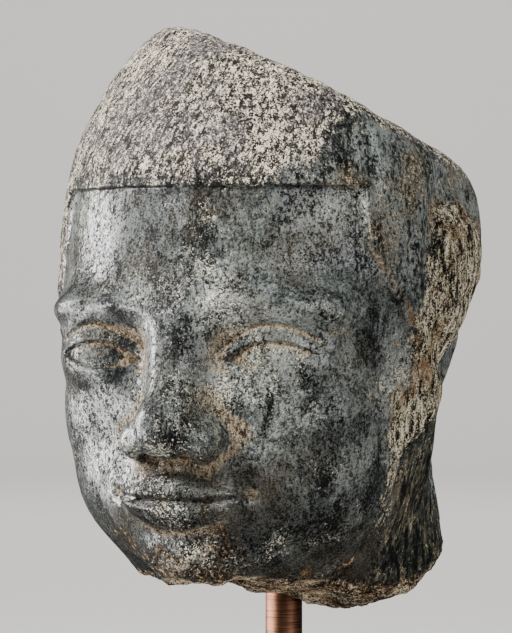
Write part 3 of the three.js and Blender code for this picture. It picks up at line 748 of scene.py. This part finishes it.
def stoneMaterial():
    t = stoneTones
    w = Workshop("carved_stone")
    n = stoneNoises(w)
    names = ("pecked", "temple", "scar", "broken", "neck", "hollow", "patch", "chinPatch", "hairEdge")
    names += ("jawFilmAndPaintedShade", "crust")
    at = {name: w.attribute(name) for name in names}
    fray = n["patch"] * 2.2 + n["crumb"] * 1.4 - 1.8
    mask = {name: (at[name] + fray).ramp(0.35, 0.65) for name in ("pecked", "scar", "broken", "neck", "temple")}

    colour, flecks, pits = faceTone(w, n, at["patch"], at["jawFilmAndPaintedShade"], at["crust"])
    colour = w.colour(mask["neck"], colour, neckTone(w, n))
    colour = w.colour(mask["temple"], colour, templeTone(w, n))
    colour = w.colour(mask["pecked"], colour, cappedTone(w, n))
    colour = w.colour(mask["scar"], colour, scarTone(w, n))
    colour = w.colour(mask["broken"], colour, brokenTone(w, n))

    # chin rubbed rough, and earth left in the hollows and along the temple's edge
    rubbed = (at["chinPatch"] + fray).ramp(0.45, 0.75)
    rubbedTone = w.colour((n["crumb"] * 0.5 + n["fine"] * 0.5).ramp(0.475, 0.555), t["nearBlack"], t["earth"])
    stain = (n["drift"] * 0.4 + n["crumb"] * 0.6).ramp(0.48, 0.57) * at["chinPatch"]
    rubbedTone = w.colour(stain * 0.95, rubbedTone, t["ochre"])
    rubbedTone = w.colour((n["crumb"] * 0.4 + n["grit"] * 0.4 + n["patch"] * 0.2).ramp(0.55, 0.595), rubbedTone, t["sand"])
    colour = w.colour(rubbed * 0.85, colour, rubbedTone)
    deposit = (at["hollow"] + fray * 0.7 - 0.25).ramp(0, 1.2) * (1 - mask["pecked"])
    depositTone = w.colour((n["crumb"] * 0.4 + n["fine"] * 0.3 + n["dust"] * 0.3).ramp(0.44, 0.56), t["earth"], t["sand"])
    colour = w.colour(deposit * 0.6, colour, depositTone)
    colour = w.colour((at["hairEdge"] + fray - 0.3).ramp(0.2, 0.8) * 0.7, colour, t["ochre"])

    coarse = mask["pecked"].most(mask["scar"]).most(mask["broken"]).most(rubbed)
    dull = coarse.most(at["temple"] * 0.7).most(at["neck"] * 0.8).most(deposit * 0.8)
    polish = (n["crumb"] * 0.4 + n["fine"] * 0.35 + n["patch"] * 0.25).ramp(0.455, 0.54) * (1 - dull) * (1 - pits)
    rough = 0.5 + coarse * 0.35 + flecks * 0.2
    heightFace = n["patch"] * 0.6 + n["crumb"] * 0.7 + n["fine"] * 0.45 + n["scratch"] * 0.4
    heightCoarse = n["stroke"] * 1.1 + n["crumb"] * 1.9 + n["fine"] * 1.2 + n["grit"] * 0.8
    heightStreak = n["streak"] * 1.3 * at["temple"].most(at["neck"]).most(at["scar"]) + n["layer"] * 1.6 * at["broken"]
    height = heightFace * (1 - coarse) + heightCoarse * coarse + heightStreak
    normal = w.bump(height, 0.0016, 1.0)
    w.set(Base_Color=colour, Roughness=rough.least(0.95), Normal=normal, Specular_IOR_Level=0.08)
    w.set(Coat_Weight=polish, Coat_Roughness=0.34, Coat_IOR=1.6)
    return w.material


stonePiece.data.materials.append(stoneMaterial())
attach(stonePiece, "root")
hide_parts("stone_head")
print("stage 4: stone dressed")

rod = {"sides": 96, "chamfer": 0.0006, "tone": tone(164, 116, 90), "dark": tone(56, 36, 27)}


def latheGrid(profile, sides):
    # radius and height along the profile, turned round the upright axis
    around = np.linspace(0, 2 * math.pi, sides, endpoint=False)
    radius, height = np.array(profile).T
    return np.stack([
        radius[:, None] * np.sin(around), -radius[:, None] * np.cos(around),
        np.repeat(height[:, None], sides, 1),
    ], -1)


rodRadius = (rodHigh.x - rodLow.x) / 2
rodProfile = [
    (rodRadius - rod["chamfer"], rodHigh.z), (rodRadius, rodHigh.z - rod["chamfer"]),
    (rodRadius, rodLow.z + rod["chamfer"]), (rodRadius - rod["chamfer"], rodLow.z),
]
rodPiece = gridMesh("rod_bar", latheGrid(rodProfile, rod["sides"]), ("first", "last"))
rodPiece.data.set_sharp_from_angle(angle=math.radians(30))


def rodMaterial():
    w = Workshop("brushed_rod")
    rings = w.noise(w.place((1, 1, 0.016)), 60, 4, 0.7)
    cloud = w.noise(w.place(), 60, 3, 0.6)
    colour = w.colour((rings * 0.75 + cloud * 0.25).ramp(0.38, 0.6), rod["dark"], rod["tone"])
    rough = 0.36 + rings * 0.16 + cloud * 0.1
    w.set(Base_Color=colour, Metallic=1.0, Roughness=rough, Normal=w.bump(rings, 0.00006, 0.6))
    return w.material


rodPiece.data.materials.append(rodMaterial())
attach(rodPiece, "root")
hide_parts("mount_rod")

foot = {"sides": 192, "bevel": 0.0015, "corner": 0.0025, "rodDepth": 0.025, "steps": 6}


def footRing(inset, height, roundness):
    # a square with rounded corners, drawn in by inset, that turns into the rod's hole as roundness goes to 1
    around = np.linspace(0, 2 * math.pi, foot["sides"], endpoint=False) + math.pi / 4
    half = (footHigh.x - footLow.x) / 2 - inset
    corner = max(foot["corner"] - inset, 0.0004)
    flat = half - corner
    cx, cy = np.sin(around), -np.cos(around)
    reach = flat / np.maximum(np.abs(cx), np.abs(cy))
    px, py = cx * reach, cy * reach
    length = np.hypot(px, py)
    squareX = px + corner * px / length * 1.0
    squareY = py + corner * py / length * 1.0
    squareX = np.clip(squareX, -half, half)
    squareY = np.clip(squareY, -half, half)
    hole = rodRadius + stoneSeat["clearance"] * millimetre
    ringX = squareX * (1 - roundness) + hole * cx * roundness
    ringY = squareY * (1 - roundness) + hole * cy * roundness
    return np.stack([ringX, ringY, np.full(around.shape, height)], -1)


bevel = foot["bevel"]
arcs = np.linspace(0, math.pi / 2, foot["steps"])
footRings = [footRing(0, footHigh.z - foot["rodDepth"], 1.0), footRing(0, footHigh.z, 1.0)]
footRings += [footRing(bevel, footHigh.z, r) for r in (0.8, 0.5, 0.2)]
footRings += [footRing(bevel * (1 - math.sin(a)), footHigh.z - bevel * (1 - math.cos(a)), 0) for a in arcs]
footRings += [footRing(bevel * (1 - math.cos(a)), footLow.z + bevel * (1 - math.sin(a)), 0) for a in arcs]
footPiece = gridMesh("foot_block", np.array(footRings), ("first", "last"))
footPiece.data.set_sharp_from_angle(angle=math.radians(35))


def footMaterial():
    w = Workshop("stained_wood")
    grainLines = w.noise(w.place((18, 1, 1)), 540, 5, 0.6, 0.6)
    pores = w.noise(w.place((30, 1, 1)), 3600, 2, 0.5)
    cloud = w.noise(w.place(), 25, 3, 0.6)
    colour = w.colour((grainLines * 0.7 + cloud * 0.3).ramp(0.4, 0.7), tone(17, 16, 15), tone(38, 34, 31))
    rough = 0.34 + grainLines * 0.15 + cloud * 0.08
    w.set(Base_Color=colour, Roughness=rough, Normal=w.bump(grainLines * 0.6 + pores * 0.5, 0.00025, 0.6))
    return w.material


footPiece.data.materials.append(footMaterial())
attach(footPiece, "root")
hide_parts("mount_foot")
print("stage 5: rod and foot made")

studio = {
    "turn": 25.0,  # the camera stands this far round to the figure's left
    "distance": 1.15,
    "frameHeight": 0.2186,  # what the picture's height spans at the stone
    "aimAcross": -0.0052,
    "aimUp": 0.1003,
    "floorTone": tone(232, 230, 226),
}
angle = math.radians(studio["turn"])
toCamera = Vector((math.sin(angle), -math.cos(angle), 0))
toRight = Vector((math.cos(angle), math.sin(angle), 0))
headAxis = Vector((-stoneSeat["rodUnderHead"][0], -stoneSeat["rodUnderHead"][1], 0)) * millimetre
aim = headAxis + toRight * studio["aimAcross"] + Vector((0, 0, stoneBase + studio["aimUp"]))


def turnedTo(direction):
    return direction.to_track_quat("-Z", "Y").to_euler()


camera = bpy.data.cameras.new("camera")
cameraObject = bpy.data.objects.new("camera", camera)
bpy.context.scene.collection.objects.link(cameraObject)
cameraObject.location = aim + toCamera * studio["distance"]
cameraObject.rotation_euler = turnedTo(-toCamera)
camera.sensor_width = 36
camera.lens = 36 * studio["distance"] / studio["frameHeight"]
bpy.context.scene.camera = cameraObject


def softLight(name, across, towards, up, wide, tall, power, warmth=(1, 1, 1), shows="matte"):
    # a light shows in the polish, on the matte stone or in both, so the stone keeps its deep blacks
    light = bpy.data.lights.new(name, "AREA")
    light.shape = "RECTANGLE"
    light.size, light.size_y, light.energy, light.color = wide, tall, power, warmth
    lamp = bpy.data.objects.new(name, light)
    bpy.context.scene.collection.objects.link(lamp)
    lamp.location = aim + toRight * across + toCamera * towards + Vector((0, 0, up))
    lamp.rotation_euler = turnedTo(aim - lamp.location)
    lamp.visible_glossy = shows != "matte"
    lamp.visible_diffuse = shows != "polish"
    return lamp


softLight("strip", -0.58, -0.16, 0.03, 0.1, 0.5, 2.8, (1.0, 0.99, 0.97))
softLight("key", -0.5, 0.36, 0.4, 0.14, 0.14, 19, (1.0, 0.99, 0.98))
softLight("fill", 0.25, 0.62, 0.3, 0.5, 0.4, 3, (0.98, 0.99, 1.0), "both")
softLight("rim", 0.6, -0.2, 0.2, 0.18, 0.3, 3.4, (0.98, 0.99, 1.0))
softLight("top", 0.05, -0.1, 0.62, 0.2, 0.2, 3)
softLight("glint", -0.58, -0.16, 0.05, 0.14, 0.5, 11, (1.0, 0.99, 0.98), "polish")
softLight("chinGlint", -0.52, 0.12, -0.22, 0.12, 0.2, 4, (1.0, 0.99, 0.98), "polish")
softLight("edge", 0.46, 0.43, -0.05, 0.04, 0.4, 1, (1.0, 0.99, 0.98), "polish")
softLight("sheen", -0.5, 0.34, 0.3, 0.16, 0.16, 1.5, (1.0, 0.99, 0.98), "polish")
backdropLight = softLight("backdrop", 0, -1.2, 2.2, 2.4, 0.6, 90)
backdropLight.rotation_euler = turnedTo(-toCamera * 2.4 - Vector((0, 0, 2)))

# floor that curves up into a backdrop: a line, a quarter circle and a line, carried across
sweep = {"width": 4.5, "front": 3.0, "back": 3.0, "bend": 0.8, "height": 3.2}


def sweepPiece():
    arc = np.linspace(0, math.pi / 2, 24)
    depth = np.concatenate([[-sweep["front"]], sweep["back"] + sweep["bend"] * np.sin(arc), [sweep["back"] + sweep["bend"]]])
    height = np.concatenate([[0], sweep["bend"] * (1 - np.cos(arc)), [sweep["height"]]])
    across = np.array([-sweep["width"], sweep["width"]])
    right, away = np.array(toRight), -np.array(toCamera)
    points = across[None, :, None] * right + depth[:, None, None] * away
    points = points + height[:, None, None] * np.array([0, 0, 1.0])
    rows = len(depth)
    index = np.arange(rows * 2).reshape(rows, 2)
    quads = np.stack([index[:-1, 0], index[:-1, 1], index[1:, 1], index[1:, 0]], -1)
    mesh = bpy.data.meshes.new("studio_sweep")
    mesh.from_pydata(points.reshape(-1, 3).tolist(), [], quads.tolist())
    mesh.polygons.foreach_set("use_smooth", np.ones(len(mesh.polygons), bool))
    piece = bpy.data.objects.new("studio_sweep", mesh)
    bpy.context.scene.collection.objects.link(piece)
    return piece


sweepObject = sweepPiece()
paper = Workshop("sweep_paper")
paper.set(Base_Color=studio["floorTone"], Roughness=0.9)
sweepObject.data.materials.append(paper.material)
sweepObject.visible_glossy = False

world = bpy.data.worlds.new("studio")
bpy.context.scene.world = world
world.use_nodes = True
world.node_tree.nodes["Background"].inputs["Color"].default_value = (0.9, 0.92, 0.95, 1)
world.node_tree.nodes["Background"].inputs["Strength"].default_value = 0.06
print("stage 6: studio set")
